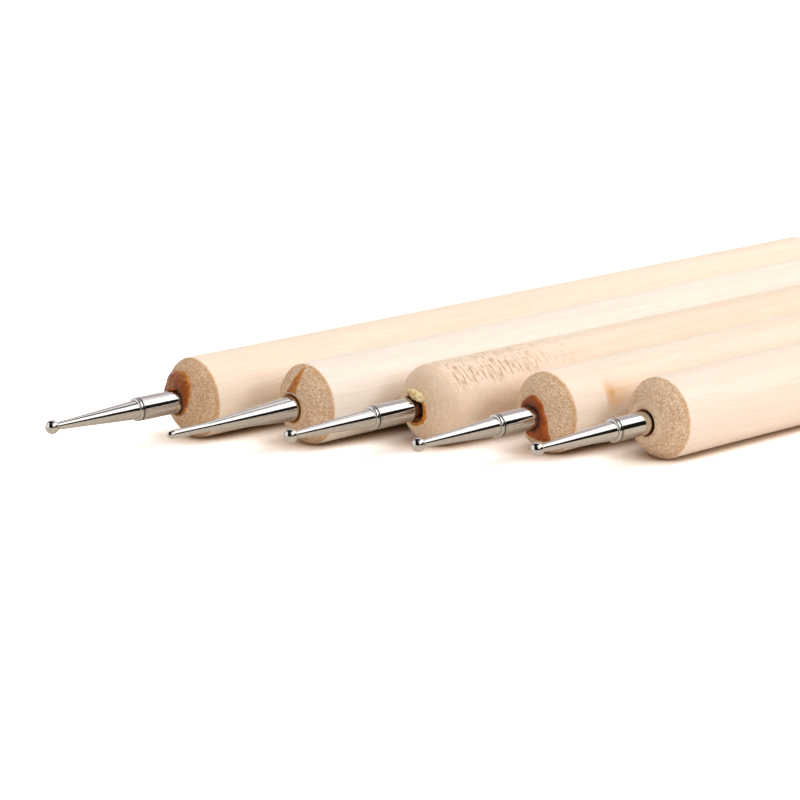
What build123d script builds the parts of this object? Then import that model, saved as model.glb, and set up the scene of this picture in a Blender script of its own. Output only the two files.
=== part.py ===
"""A set of five double-ended embossing styluses, lying side by side on a table.

Each stylus is a turned wooden handle with a metal tip glued into a bore at each
end. A tip is a ball on a slender cone, whose tang sits in a plated sleeve. One
stylus has a plain pointed cone at its front end and no sleeve there.
Millimetres. +X runs along the handles from the front tips to the rear tips, +Y
across the row, +Z up. The origin is under the middle of the set, on the table.
"""

from build123d import *
from math import cos, radians, sin, sqrt
import os

# Handle: the turned wooden grip
handle_diameter = 9.0
handle_length = 104.0
dome_depth = 2.5
dome_face_radius = 1.55
dome_bulge_share = 0.08

# Bores: one in each end of the handle
bore_depth = 13.0
bore_clearance = 0.2

# Sleeves: the plated tubes that hold the ball tips. The rounded back edge stands
# off the wood, and a thinner shank goes on into the bore
sleeve_radius = 1.3
shank_radius = 1.1
sleeve_standoff = 0.1
sleeve_bore_radius = 0.85
sleeve_exposed = 4.8
sleeve_hidden = 12.0
sleeve_edge_round = 0.1

# Ball tips
front_ball_radius = 0.76
front_neck_radius = 0.42
cone_end_radius = 1.05
tip_length = 11.5
shoulder_length = 0.42
shoulder_round_share = 0.5
shoulder_bulge_share = 0.2
tang_length = 9.0
tang_clearance = 0.02

# Larger balls at the rear ends, smallest on the first stylus
rear_ball_radius = 2.0
rear_ball_shares = (0.5, 0.625, 0.75, 0.875, 1.0)
rear_neck_share = 0.45

# The one front tip that is a plain point: a cone, a thin parallel neck and a
# rounded nose with a small flat end. Its length runs to where the nose starts
point_length = 16.3
point_nose_length = 0.8
point_flat_radius = 0.12
point_neck_length = 3.7
point_neck_radius = 0.475
point_root_radius = 1.4

# Glue: the film in each bore and the bead round its mouth
glue_film_gap = 0.02
glue_bead_radius = 0.25

# How the set lies: each front dome edge, as shares of the handle's length and
# diameter, the turn of each handle seen from above, in degrees, and how far
# the tips sit below the handle's axis
along_shares = (-0.287, -0.2195, -0.1296, -0.0659, 0.0)
across_shares = (4.711, 3.489, 2.41, 1.134, 0.0)
turns = (-0.49, 0.06, -0.56, 0.58, 0.4)
tip_drop_shares = (0.0, 0.022, 0.0, 0.033, 0.02)

# How loose each front bore is, how far each front sleeve's mouth stands out, and
# how far its back edge stands off the wood
bore_looseness_shares = (1.0, 1.3, 1.1, 1.2, 1.0)
exposed_shares = (1.115, 1.0, 1.229, 1.056, 0.95)
standoff_shares = (1.0, 1.0, 9.0, 1.0, 1.0)

handle_radius = handle_diameter / 2
grip_length = handle_length - 2 * dome_depth
numbers = range(len(turns))
POINTED = 1

os.makedirs("parts", exist_ok=True)


def tip_reach(n, end):
    """How far a ball's middle, or the start of the nose, stands out from the dome's edge."""
    if end == "rear":
        return dome_depth + sleeve_exposed + tip_length
    if n == POINTED:
        return dome_depth + point_length
    return dome_depth + sleeve_exposed * exposed_shares[n] + tip_length


def ball_radius(n, end):
    """The radius of the ball at one end of a stylus, or the length of the point's nose."""
    if end == "rear":
        return rear_ball_radius * rear_ball_shares[n]
    return point_nose_length if n == POINTED else front_ball_radius


# The middle of the set's box, which becomes the origin
front_limit = min(
    along_shares[n] * handle_length - tip_reach(n, "front") - ball_radius(n, "front") for n in numbers
)
rear_limit = max(
    along_shares[n] * handle_length + grip_length + tip_reach(n, "rear") + ball_radius(n, "rear")
    for n in numbers
)
middle_x = (front_limit + rear_limit) / 2
middle_y = handle_diameter * (max(across_shares) + min(across_shares)) / 2


def tip_drop(n, end):
    """How far the bore of a front tip was drilled below the handle's axis."""
    return handle_radius * tip_drop_shares[n] if end == "front" else 0


def handle_plane(n):
    """The upright plane through a handle's axis, from its front dome's edge."""
    turn = radians(turns[n])
    origin = (
        along_shares[n] * handle_length - middle_x,
        across_shares[n] * handle_diameter - middle_y,
        handle_radius,
    )
    return Plane(origin=origin, x_dir=(cos(turn), sin(turn), 0), z_dir=(sin(turn), -cos(turn), 0))


def end_plane(n, end):
    """The upright plane through a tip's axis, with its X pointing out of the handle."""
    handle = handle_plane(n)
    if end == "front":
        origin = handle.from_local_coords((0, -tip_drop(n, end)))
        return Plane(origin=origin, x_dir=-handle.x_dir, z_dir=-handle.z_dir)
    origin = handle.from_local_coords((grip_length, -tip_drop(n, end)))
    return Plane(origin=origin, x_dir=handle.x_dir, z_dir=handle.z_dir)


def long_axis(plane):
    """The line that a round piece is turned about."""
    return Axis(plane.origin, plane.x_dir)


def held_radii(n, end):
    """The radius of the metal at the mouth of a bore, and further in."""
    if (n, end) == (POINTED, "front"):
        return point_root_radius, point_root_radius
    return sleeve_radius, shank_radius


def sleeve_back(n, end):
    """How far out the back edge of a sleeve lies from the dome's edge."""
    return dome_depth + sleeve_standoff * (standoff_shares[n] if end == "front" else 1)


def bore_radius(n, end):
    """The wood is drilled a little larger than what it holds."""
    looseness = bore_looseness_shares[n] if end == "front" else 1
    return held_radii(n, end)[0] + bore_clearance * looseness


def dome_arc(edge_x, side):
    """The rounded cone from the edge of the grip to the small flat face at its end."""
    face_x = edge_x + side * dome_depth
    edge = Vector(edge_x, handle_radius)
    face = Vector(face_x, dome_face_radius)
    across = (face - edge).rotate(Axis.Z, side * 90)
    return ThreePointArc(edge, (edge + face) / 2 + across * dome_bulge_share, face)


def make_handle(n):
    """The wooden handle: a round grip, a dome at each end and a bore in each dome."""
    plane = handle_plane(n)
    with BuildPart() as handle:
        with BuildSketch(plane):
            with BuildLine():
                front = dome_arc(0, -1)
                rear = dome_arc(grip_length, 1)
                Line(front @ 0, rear @ 0)
                Polyline(front @ 1, (-dome_depth, 0), (grip_length + dome_depth, 0), rear @ 1)
            make_face()
        revolve(axis=long_axis(plane))
        for end in ("front", "rear"):
            out = end_plane(n, end)
            mouth = Plane(origin=out.from_local_coords((dome_depth, 0)), z_dir=out.x_dir)
            with BuildSketch(mouth):
                Circle(bore_radius(n, end))
            extrude(amount=-bore_depth, mode=Mode.SUBTRACT)
    return handle


def make_sleeve(n, end):
    """The plated tube between the wood and the shoulder of a ball tip."""
    plane = end_plane(n, end)
    mouth_x = tip_reach(n, end) - tip_length
    back_x = sleeve_back(n, end)
    back_round = sleeve_radius - shank_radius
    with BuildPart() as sleeve:
        with BuildSketch(plane):
            with BuildLine():
                Line((mouth_x - sleeve_edge_round, sleeve_radius), (back_x + back_round, sleeve_radius))
                RadiusArc((back_x + back_round, sleeve_radius), (back_x, shank_radius), -back_round)
                Polyline(
                    (back_x, shank_radius),
                    (dome_depth - sleeve_hidden, shank_radius),
                    (dome_depth - sleeve_hidden, sleeve_bore_radius),
                    (mouth_x, sleeve_bore_radius),
                    (mouth_x, sleeve_radius - sleeve_edge_round),
                )
                RadiusArc(
                    (mouth_x, sleeve_radius - sleeve_edge_round),
                    (mouth_x - sleeve_edge_round, sleeve_radius),
                    -sleeve_edge_round,
                )
            make_face()
        revolve(axis=long_axis(plane))
    return sleeve


def make_ball_tip(n, end):
    """A ball on a slender cone, a round shoulder and the tang behind it."""
    plane = end_plane(n, end)
    ball = ball_radius(n, end)
    neck = ball * rear_neck_share if end == "rear" else front_neck_radius
    centre_x = tip_reach(n, end)
    neck_x = centre_x - sqrt(ball * ball - neck * neck)
    seat_x = centre_x - tip_length
    shoulder_x = seat_x + shoulder_length
    crown_x = shoulder_x - shoulder_length * shoulder_round_share
    bulge = (sleeve_radius - cone_end_radius) * shoulder_bulge_share
    tang_radius = sleeve_bore_radius - tang_clearance
    with BuildPart() as tip:
        with BuildSketch(plane):
            with BuildLine():
                ThreePointArc((centre_x + ball, 0), (centre_x, ball), (neck_x, neck))
                Line((neck_x, neck), (shoulder_x, cone_end_radius))
                ThreePointArc(
                    (shoulder_x, cone_end_radius),
                    ((shoulder_x + crown_x) / 2, sleeve_radius - bulge),
                    (crown_x, sleeve_radius),
                )
                Polyline(
                    (crown_x, sleeve_radius),
                    (seat_x + sleeve_edge_round, sleeve_radius),
                    (seat_x, sleeve_radius - sleeve_edge_round),
                    (seat_x, tang_radius),
                    (seat_x - tang_length, tang_radius),
                    (seat_x - tang_length, 0),
                    (centre_x + ball, 0),
                )
            make_face()
        revolve(axis=long_axis(plane))
    return tip


def make_pointed_tip(n):
    """A cone with a thin neck and a rounded nose, and the straight shank behind it."""
    plane = end_plane(n, "front")
    nose_x = tip_reach(n, "front")
    end_x = nose_x + point_nose_length
    with BuildPart() as tip:
        with BuildSketch(plane):
            with BuildLine():
                TangentArc((nose_x, point_neck_radius), (end_x, point_flat_radius), tangent=(1, 0))
                Polyline(
                    (nose_x, point_neck_radius),
                    (nose_x - point_neck_length, point_neck_radius),
                    (dome_depth, point_root_radius),
                    (dome_depth - sleeve_hidden, point_root_radius),
                    (dome_depth - sleeve_hidden, 0),
                    (end_x, 0),
                    (end_x, point_flat_radius),
                )
            make_face()
        revolve(axis=long_axis(plane))
    return tip


def make_glue(n, end):
    """The film of glue in the bore, and the bead that squeezed out round its mouth."""
    plane = end_plane(n, end)
    at_mouth, further_in = held_radii(n, end)
    film_start = dome_depth - sleeve_hidden
    seat = glue_film_gap + tip_drop(n, end)
    back_x = sleeve_back(n, end) - glue_film_gap
    film_top = bore_radius(n, end) - glue_film_gap
    film_bottom = further_in + glue_film_gap
    bead_bottom = at_mouth + glue_film_gap
    corner = (Align.MIN, Align.MIN)
    with BuildPart() as glue:
        with BuildSketch(plane):
            with Locations((dome_depth, bead_bottom)):
                Circle(glue_bead_radius)
            with BuildLine():
                dome = dome_arc(seat, 1)
                Polyline(dome @ 1, (dome_depth + seat, 0), (film_start, 0), (film_start, handle_radius))
                Line((film_start, handle_radius), dome @ 0)
            make_face(mode=Mode.SUBTRACT)
            with Locations((film_start, film_bottom)):
                Rectangle(dome_depth + seat - film_start, film_top - film_bottom, align=corner)
            with Locations((film_start, 0)):
                Rectangle(handle_length, film_bottom, align=corner, mode=Mode.SUBTRACT)
            with Locations((back_x, 0)):
                Rectangle(handle_length, bead_bottom, align=corner, mode=Mode.SUBTRACT)
        revolve(axis=long_axis(plane))
    return glue


def save(piece, name):
    """Label a finished piece and write its file."""
    piece.part.label = name
    export_step(piece.part, f"parts/{name}.step")


for n in numbers:
    stylus = f"stylus_{n + 1}"
    save(make_handle(n), f"{stylus}_handle")
    for end in ("front", "rear"):
        save(make_glue(n, end), f"{stylus}_{end}_glue")
        if (n, end) == (POINTED, "front"):
            save(make_pointed_tip(n), f"{stylus}_{end}_tip")
        else:
            save(make_ball_tip(n, end), f"{stylus}_{end}_tip")
            save(make_sleeve(n, end), f"{stylus}_{end}_sleeve")
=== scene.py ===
"""The embossing stylus set, dressed for rendering.

Laid out as a Blender add-on and run as a script. It loads the packed part, stands
a finished surface in for each solid of the five styluses, lays them on a pale
table and sets the light and the camera of the photograph.
"""

from math import atan2, ceil, cos, radians, sin

import bpy
import numpy as np
from bpy.props import FloatProperty, FloatVectorProperty, PointerProperty
from mathutils import Matrix, Vector


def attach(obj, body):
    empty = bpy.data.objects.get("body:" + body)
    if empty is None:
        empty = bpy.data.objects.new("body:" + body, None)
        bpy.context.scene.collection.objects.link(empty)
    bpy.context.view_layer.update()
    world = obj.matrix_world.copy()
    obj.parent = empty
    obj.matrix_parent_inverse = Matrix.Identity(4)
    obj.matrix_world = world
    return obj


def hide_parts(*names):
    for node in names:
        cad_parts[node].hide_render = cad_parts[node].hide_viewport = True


bl_info = {
    "name": "Embossing stylus set",
    "version": (1, 0, 0),
    "blender": (4, 5, 0),
    "location": "3D View > Sidebar > Stylus",
    "description": "Five turned wooden styluses with plated ball tips glued into their ends",
    "category": "Object",
}

MM = 0.001
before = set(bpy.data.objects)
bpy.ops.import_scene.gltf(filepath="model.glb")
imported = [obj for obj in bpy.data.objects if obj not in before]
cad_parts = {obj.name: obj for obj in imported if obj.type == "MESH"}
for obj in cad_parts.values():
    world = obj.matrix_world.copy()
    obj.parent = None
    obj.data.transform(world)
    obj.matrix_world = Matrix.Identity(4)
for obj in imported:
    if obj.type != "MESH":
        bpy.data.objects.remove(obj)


# ---- Reading the frame ----


def corners(name):
    """The distinct corners of a CAD node's mesh, in metres."""
    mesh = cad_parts[name].data
    points = np.empty(len(mesh.vertices) * 3)
    mesh.vertices.foreach_get("co", points)
    return np.unique(points.reshape(-1, 3).round(7), axis=0)


class Lie:
    """How one stylus lies. Its stations run from the edge of the front dome to the edge of
    the rear one, and phi turns from the camera's right over the top."""

    def __init__(self, number):
        points = corners(f"stylus_{number}_handle")
        front = points[:, 0] < points[:, 0].mean()
        near, far = points[front].mean(0), points[~front].mean(0)
        low, high = points[:, 2].min(), points[:, 2].max()
        self.number = number
        self.radius = (high - low) / 2
        self.along = np.array([far[0] - near[0], far[1] - near[1], 0.0])
        self.along /= np.linalg.norm(self.along)
        self.side = np.array([self.along[1], -self.along[0], 0.0])
        self.up = np.array([0.0, 0.0, 1.0])
        axis_point = np.array([near[0], near[1], (low + high) / 2])
        away = points - axis_point
        station = away @ self.along
        grip = station[np.hypot(away @ self.side, away[:, 2]) > 0.995 * self.radius]
        self.origin = axis_point + grip.min() * self.along
        self.length = grip.max() - grip.min()
        self.ends = {}
        for end in ("front", "rear"):
            tip = corners(f"stylus_{number}_{end}_tip")
            station = (tip - self.origin) @ self.along
            out = -station.min() if end == "front" else station.max() - self.length
            drop = self.origin[2] - (tip[:, 2].min() + tip[:, 2].max()) / 2
            self.ends[end] = (out, drop)

    def at(self, station, radius, phi, drop=0.0):
        """Points at these stations and radii, turned by phi round the axis and lowered by drop."""
        shape = np.broadcast_shapes(*(np.shape(x) for x in (station, radius, phi, drop)))
        station, radius, phi, drop = (np.broadcast_to(x, shape)[..., None] for x in (station, radius, phi, drop))
        across = radius * np.cos(phi) * self.side + (radius * np.sin(phi) - drop) * self.up
        return self.origin + station * self.along + across

    def station(self, end, out):
        """The station of a place that stands out from the edge of one end's dome."""
        return -out if end == "front" else self.length + out


LIES = {number: Lie(number) for number in range(1, 6)}


# ---- Settings ----


def colour(code):
    """An sRGB hex code as the linear colour that Blender's nodes take."""
    parts = np.array([int(code[i : i + 2], 16) for i in (1, 3, 5)]) / 255
    linear = np.where(parts <= 0.04045, parts / 12.92, ((parts + 0.055) / 1.055) ** 2.4)
    return (*linear.tolist(), 1.0)


def size(name, description, millimetres):
    """A length in the sidebar."""
    return FloatProperty(
        name=name, description=description, default=millimetres * MM, min=0,
        precision=5, unit="LENGTH", subtype="DISTANCE",
    )


def tint(name, description, code):
    """A colour in the sidebar."""
    return FloatVectorProperty(
        name=name, description=description, default=colour(code), min=0, max=1, size=4, subtype="COLOR"
    )


class StylusWood(bpy.types.PropertyGroup):
    """Sizes and colours of the turned handles."""

    dome_depth: size("Dome depth", "How far each rounded end stands out from the grip", 2.5)
    dome_face: size("Dome face radius", "Radius where the dome ends", 1.55)
    dome_bulge: FloatProperty(
        name="Dome bulge", description="Height of the dome's curve over its chord, as a share of it",
        default=0.08, subtype="FACTOR",
    )
    bore_depth: size("Bore depth", "Depth of the hole in each end", 13.0)
    edge_round: size("Edge rounding", "Rounding where the dome meets the grip", 0.22)
    soft_round: size("Soft edge rounding", "The same on the third handle's front, which was sanded over", 0.8)
    pale_1: tint("First handle", "Early wood of the first handle", "#FEEDDC")
    pale_2: tint("Second handle", "Early wood of the second handle", "#FEF3EA")
    pale_3: tint("Third handle", "Early wood of the third handle", "#FBE8D6")
    pale_4: tint("Fourth handle", "Early wood of the fourth handle", "#FDEDDE")
    pale_5: tint("Fifth handle", "Early wood of the fifth handle", "#FCECE0")
    end_pale: tint("End grain, pale", "Cut fibres of the domes", "#FCE6CC")
    end_deep: tint("End grain, deep", "Pores between the cut fibres", "#C39A73")


class StylusMetal(bpy.types.PropertyGroup):
    """Sizes and colours of the plated tips and sleeves."""

    front_ball: size("Front ball radius", "Radius of the small balls", 0.76)
    rear_ball: size("Rear ball radius", "Radius of the largest rear ball", 2.0)
    tip_length: size("Tip length", "From the sleeve to the middle of the ball", 11.5)
    cone_end: size("Cone end radius", "Radius of the cone at the shoulder", 1.05)
    front_neck: size("Front neck radius", "Radius of the cone at a small ball", 0.42)
    sleeve: size("Sleeve radius", "Radius of the sleeves and shoulders", 1.3)
    sleeve_bore: size("Sleeve bore radius", "Radius of the hole through a sleeve", 0.85)
    shank: size("Shank radius", "Radius of the sleeve inside the wood", 1.1)
    hidden: size("Hidden length", "How far a sleeve or the point runs on behind the dome's face", 12.0)
    shoulder: size("Shoulder length", "Length of the shoulder in front of the sleeve", 0.42)
    tang: size("Tang radius", "Radius of the tip's tang inside the sleeve", 0.83)
    tang_length: size("Tang length", "Length of that tang", 9.0)
    point_root: size("Point root radius", "Radius of the plain pointed tip at the wood", 1.4)
    point_neck: size("Point neck radius", "Radius of the thin parallel part behind the nose", 0.475)
    point_neck_length: size("Point neck length", "Length of that thin part", 3.7)
    point_nose: size("Point nose length", "Length of the rounded nose", 0.8)
    point_flat: size("Point flat radius", "Radius of the nose's small flat end", 0.12)
    plate: tint("Plating", "Colour of the plating", "#E3E0DC")


class StylusGlue(bpy.types.PropertyGroup):
    """Sizes and colours of the hardened glue."""

    height: size("Glue height", "How high the glue stands on the wood", 0.26)
    amber: tint("Amber", "Glue where it lies thin", "#D9913F")
    brown: tint("Brown", "Glue where it lies thick", "#94480F")
    scorched: tint("Scorched, thin", "Thin glue of the fourth and fifth styluses", "#C46E2A")
    red_brown: tint("Scorched, thick", "Thick glue of the fourth and fifth styluses", "#96440F")
    # painted shade: the colour the glue takes in the gap beside the metal, where shade falls
    shade: tint("Recess", "Glue in the gap beside the metal", "#2A1B10")
    straw: tint("Straw", "Pale torn glue and fibres", "#FBEDC8")
    straw_thick: tint("Straw, thick", "Torn glue where it lies thick", "#E9C47E")


class StylusStage(bpy.types.PropertyGroup):
    """The table and the light."""

    floor: tint("Table", "Colour of the table", "#FFFFFF")
    key: FloatProperty(name="Key light", description="Power of the large lamp overhead", default=10.0, unit="POWER")
    fill: FloatProperty(name="Fill light", description="Strength of the white room on the wood", default=0.62)
    right: FloatProperty(name="Right light", description="Power of the low lamp", default=5.5, unit="POWER")


SLOTS = {"wood": StylusWood, "metal": StylusMetal, "glue": StylusGlue, "stage": StylusStage}


def settings(name):
    """One group of the scene's settings."""
    return getattr(bpy.context.scene, f"stylus_{name}")


# ---- Surfaces ----


def noise(points, cell, seed):
    """Smooth value noise from -1 to 1. Random values stand on a lattice of boxes of size
    cell, and between them each weight is 3t^2 - 2t^3 of the share t of the way across."""
    table = np.random.default_rng(seed).uniform(-1, 1, (32, 32, 32))
    grid = points / np.asarray(cell)
    low = np.floor(grid).astype(int)
    t = grid - low
    t = t * t * (3 - 2 * t)
    total = np.zeros(points.shape[:-1])
    for corner in np.ndindex(2, 2, 2):
        weight = np.prod(np.where(corner, t, 1 - t), axis=-1)
        i, j, k = np.moveaxis((low + corner) % 32, -1, 0)
        total += weight * table[i, j, k]
    return total


def ramp(value, start, end):
    """3t^2 - 2t^3 of the share t of the way from start to end, held to 0 and 1 outside."""
    t = np.clip((np.asarray(value) - start) / (end - start), 0, 1)
    return t * t * (3 - 2 * t)


def softened(points, cuts, steps=7):
    """A profile with rounded corners. Each corner P gives way to the curve
    (1-t)^2 A + 2t(1-t) P + t^2 B, where A and B lie the corner's cut away from P on its two
    sides. The first and last points stay."""
    points = np.asarray(points, float)
    t = np.linspace(0, 1, steps)[:, None]
    parts = [points[:1]]
    for before, corner, after, cut in zip(points[:-2], points[1:-1], points[2:], cuts):
        if not cut:
            parts.append(corner[None])
            continue
        a = corner + (before - corner) * cut / np.linalg.norm(before - corner)
        b = corner + (after - corner) * cut / np.linalg.norm(after - corner)
        parts.append((1 - t) ** 2 * a + 2 * t * (1 - t) * corner + t**2 * b)
    parts.append(points[-1:])
    return np.concatenate(parts)


def filled(profile, gap):
    """The profile with points added on its long runs: evenly, at most gap apart, and one
    close to each end of a run, so that a flat run is shaded flat."""
    parts, near = [], 0.03 * MM
    for a, b in zip(profile[:-1], profile[1:]):
        run = np.linalg.norm(b - a)
        shares = np.linspace(0, 1, max(int(ceil(run / gap)), 1) + 1)[:-1]
        if run > gap:
            shares = np.unique(np.r_[shares, near / run, 1 - near / run])
        parts.append(a + shares[:, None] * (b - a))
    return np.concatenate([*parts, profile[-1:]])


def placed(name, data):
    """An object of the scene with this mesh, lamp or camera."""
    made = bpy.data.objects.new(name, data)
    bpy.context.scene.collection.objects.link(made)
    return made


def skin(name, grid, looped=False, **values):
    """A mesh over a grid of points whose columns go round. Quads join each row to the next.
    A looped grid's last row joins its first. Otherwise the first and last rows are
    single points, and triangles fan out from them. The faces are turned round where the
    volume inside them, the sum of a . (b x c) / 6 over their triangles, is negative."""
    rows, columns = grid.shape[:2]
    kept = np.ones((rows, columns), bool)
    if looped:
        index = np.arange(rows * columns).reshape(rows, columns)
        low, high = index, np.roll(index, -1, axis=0)
    else:
        index = np.arange((rows - 2) * columns).reshape(rows - 2, columns) + 1
        low, high = index[:-1], index[1:]
        kept[[0, -1], 1:] = False
    points = grid[kept]
    next_low, next_high = (np.roll(ring, -1, axis=-1) for ring in (low, high))
    quads = np.stack([low, next_low, next_high, high], -1).reshape(-1, 4)
    triangles = np.empty((0, 3), int)
    if not looped:
        first, last = index[0], index[-1]
        start, stop = np.zeros(columns, int), np.full(columns, len(points) - 1)
        front, back = np.stack([start, np.roll(first, -1), first], -1), np.stack([last, np.roll(last, -1), stop], -1)
        triangles = np.concatenate([front, back])
    middle = points.mean(0)
    fans = np.concatenate([quads[:, :3], quads[:, [0, 2, 3]], triangles])
    a, b, c = np.moveaxis((points - middle)[fans], 1, 0)
    if np.einsum("ij,ij->", a, np.cross(b, c)) < 0:
        quads, triangles = quads[:, ::-1], triangles[:, ::-1]
    mesh = bpy.data.meshes.new(name)
    mesh.from_pydata(points, [], quads.tolist() + triangles.tolist())
    for key, value in values.items():
        layer = mesh.attributes.new(key, "FLOAT", "POINT")
        value = np.broadcast_to(value, (rows, columns))[kept]
        layer.data.foreach_set("value", np.ascontiguousarray(value, np.float32))
    mesh.shade_smooth()
    return placed(name, mesh)


def turns(columns):
    """Evenly spaced angles round a full turn."""
    return np.linspace(0, 2 * np.pi, columns, endpoint=False)


def keep(piece, number, material, slot, *nodes):
    """Gives a piece its finish and its body, and lets it stand for its CAD nodes."""
    piece.data.materials.append(material)
    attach(piece, f"stylus_{number}")
    if nodes:
        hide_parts(*nodes)
    return piece


# How far the painted shade in a seam reaches along the metal
SEAM = 0.1 * MM


def turned(name, lie, end, profile, columns=72, looped=False, drop=0.0, seam=np.inf):
    """A surface of revolution: the point at (out, radius) of the profile, turned by phi
    round the axis of the tip, which lies drop below the handle's. Painted shade darkens the seam,
    and fades as exp(-d^2), with d the distance from it over its reach."""
    phi = turns(columns)
    grid = lie.at(lie.station(end, profile[:, :1]), profile[:, 1:], phi, drop)
    return skin(name, grid, looped, dirt=np.exp(-(((profile[:, :1] - seam) / SEAM) ** 2)))


# ---- Shader nodes ----

# What makes a Mix node mix colours
COLOURS = {"output": 2, "data_type": "RGBA"}


def add(tree, kind, inputs=(), output=0, **properties):
    """Adds a shader node and gives back one of its outputs. Its properties are set, and each
    input takes a value or another node's output."""
    made = tree.nodes.new(f"ShaderNode{kind}")
    for key, value in properties.items():
        setattr(made, key, value)
    for key, value in dict(inputs).items():
        if isinstance(value, bpy.types.NodeSocket):
            tree.links.new(value, made.inputs[key])
        else:
            made.inputs[key].default_value = value
    return made.outputs[output] if len(made.outputs) else None


def material(name):
    """A new material with an empty node tree."""
    made = bpy.data.materials.new(name)
    made.use_nodes = True
    made.node_tree.nodes.clear()
    return made, made.node_tree


def finish_with(tree, shader):
    """Joins the last shader to the material's output."""
    add(tree, "OutputMaterial", {"Surface": shader})


# ---- Handles ----


def dome(wood, radius, steps=34):
    """The dome's outline from its edge at (0, radius) to its face at (depth, face), as rows of
    (out, radius). The chord is raised by sqrt(q^2 - x^2) - (q - h), the height of a circle of
    radius q over it at x from its middle, where h is the bulge times the chord c and
    q = (c^2 / 4 + h^2) / 2h."""
    edge, face = np.array([0, radius]), np.array([wood.dome_depth, wood.dome_face])
    chord = np.linalg.norm(face - edge)
    h = wood.dome_bulge * chord
    q = (chord**2 / 4 + h**2) / (2 * h)
    share = np.linspace(0, 1, steps)[:, None]
    x = (share - 0.5) * chord
    out_of_chord = np.array([edge[1] - face[1], face[0] - edge[0]]) / chord
    return edge + (face - edge) * share + out_of_chord * (np.sqrt(q**2 - x**2) - (q - h))


def out_at(line, radius):
    """How far out the dome's outline stands at a radius."""
    return np.interp(radius, line[::-1, 1], line[::-1, 0])


# Radius of each bore's mouth in mm. Ragged ones list phi in degrees and radius in mm.
BORES = {"plain": 1.5, 2: 1.66, 3: 1.52, 4: 1.54}
RAGGED = {
    3: [(-120, 1.6), (-70, 1.62), (-30, 1.56), (20, 1.53), (60, 1.6), (100, 1.52)],
    4: [(-150, 1.54), (-80, 1.75), (-50, 1.95), (-20, 1.9), (20, 1.75), (70, 1.62), (130, 1.54)],
}


def around(table, phi):
    """A value listed at some angles in degrees, run smoothly round the circle to each phi."""
    angles, values = np.radians([a for a, _ in table]), np.array([v for _, v in table])
    dense = turns(720)
    order = np.argsort(angles % (2 * np.pi))
    line = np.interp(dense, (angles % (2 * np.pi))[order], values[order], period=2 * np.pi)
    window = np.hanning(19)
    line = np.convolve(np.r_[line[-9:], line, line[:9]], window / window.sum(), "valid")
    return np.interp(np.asarray(phi) % (2 * np.pi), dense, line, period=2 * np.pi)


def bore_mouth(number, end):
    """The radius of a bore's mouth, in metres."""
    return BORES.get(number if end == "front" else "plain", BORES["plain"]) * MM


def end_rows(lie, wood, end):
    """The profile of one end, from the floor of its bore to the grip, as rows of (out, radius)."""
    bore = bore_mouth(lie.number, end)
    line = dome(wood, lie.radius)
    floor = wood.dome_depth - wood.bore_depth
    lip = 0.1 * MM
    rim = wood.soft_round if (lie.number, end) == (3, "front") else wood.edge_round
    inner = (line[:, 1] > bore + 1.2 * lip) & (line[:, 1] < lie.radius) & (line[:, 0] > 1.1 * rim)
    middle = line[inner][::-1]
    mouth = (out_at(line, bore), bore)
    points = [(floor, 0), (floor, bore), mouth, *middle, (0, lie.radius), (-rim * 1.5, lie.radius)]
    cuts = [0.3 * MM, lip, *([0] * len(middle)), rim]
    return softened(points, cuts)


# How golden the rim of the first and fourth domes is, against 0.45 on the others
GOLDEN_RIMS = {1: 0.7, 4: 1.0}


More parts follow.
